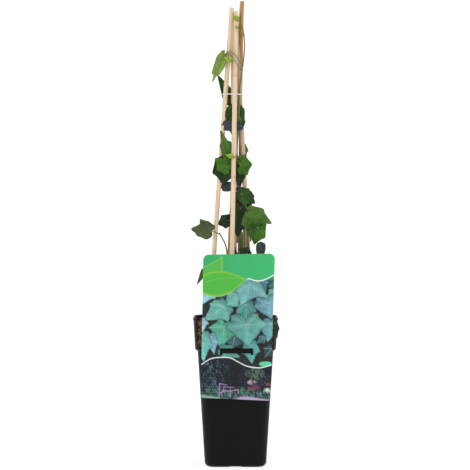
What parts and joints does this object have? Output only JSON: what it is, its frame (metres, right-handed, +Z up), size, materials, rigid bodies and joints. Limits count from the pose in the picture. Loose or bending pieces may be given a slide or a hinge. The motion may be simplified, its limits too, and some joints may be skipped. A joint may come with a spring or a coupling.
{
  "type": "potted climbing ivy",
  "caption": "Climbing ivy tied to a tepee of bamboo canes in a square nursery pot with a hung care label; stands on its flat base.",
  "frame": {"origin": "middle of the pot's base, on the surface that it stands on", "axes": "+Z up, along the canes; the label faces -Y; +X is to the right as seen from the label's side"},
  "size_m": [0.1101, 0.1112, 0.5973],
  "materials": {
    "black_plastic": "satin moulded",
    "printed_plastic": "printed sheet",
    "compost": "loose, fibrous",
    "pale_bamboo": "smooth bamboo",
    "brown_bamboo": "smooth bamboo",
    "white_elastic": "satin",
    "green_stem": "thin bark",
    "leaf_dark": "waxy",
    "leaf_mid": "waxy",
    "leaf_bright": "waxy",
    "leaf_young": "soft",
    "leaf_grey": "waxy, seen by its sheen"
  },
  "bodies": {
    "root": {"cane_back": "brown_bamboo", "cane_front": "pale_bamboo", "cane_left": "pale_bamboo", "cane_right": "pale_bamboo", "cane_tie": "white_elastic", "compost": "compost", "label": "printed_plastic", "leaf_above_tie": "leaf_dark", "leaf_back_centre": "leaf_bright", "leaf_back_left": "leaf_mid", "leaf_back_low": "leaf_dark", "leaf_back_mid": "leaf_dark", "leaf_back_right": "leaf_dark", "leaf_back_top": "leaf_dark", "leaf_back_upper_left": "leaf_mid", "leaf_back_upper_right": "leaf_bright", "leaf_behind_label": "leaf_dark", "leaf_broad_right": "leaf_bright", "leaf_dark_centre": "leaf_dark", "leaf_dark_left": "leaf_dark", "leaf_dark_right": "leaf_dark", "leaf_far_left": "leaf_mid", "leaf_glossy_left": "leaf_dark", "leaf_glossy_right": "leaf_bright", "leaf_grey_band": "leaf_grey", "leaf_grey_right": "leaf_grey", "leaf_hanging": "leaf_mid", "leaf_label_left": "leaf_mid", "leaf_lobed_left": "leaf_bright", "leaf_long_left": "leaf_mid", "leaf_low_front": "leaf_dark", "leaf_low_left": "leaf_dark", "leaf_low_right": "leaf_mid", "leaf_lower_mid": "leaf_mid", "leaf_lower_right": "leaf_dark", "leaf_over_rim": "leaf_dark", "leaf_sheen_band": "leaf_grey", "leaf_side_right": "leaf_mid", "leaf_small_dark": "leaf_dark", "leaf_tip": "leaf_young", "leaf_top_bud": "leaf_young", "leaf_upper_mid": "leaf_dark", "leaf_vivid_right": "leaf_bright", "leaf_young_left": "leaf_bright", "leaf_young_mid": "leaf_young", "pot": "black_plastic", "stem_back": "green_stem", "stem_left": "green_stem", "stem_main": "green_stem", "stem_right_brown": "green_stem", "stem_right_dark": "green_stem", "stem_right_olive": "green_stem"}
  },
  "joints": []
}
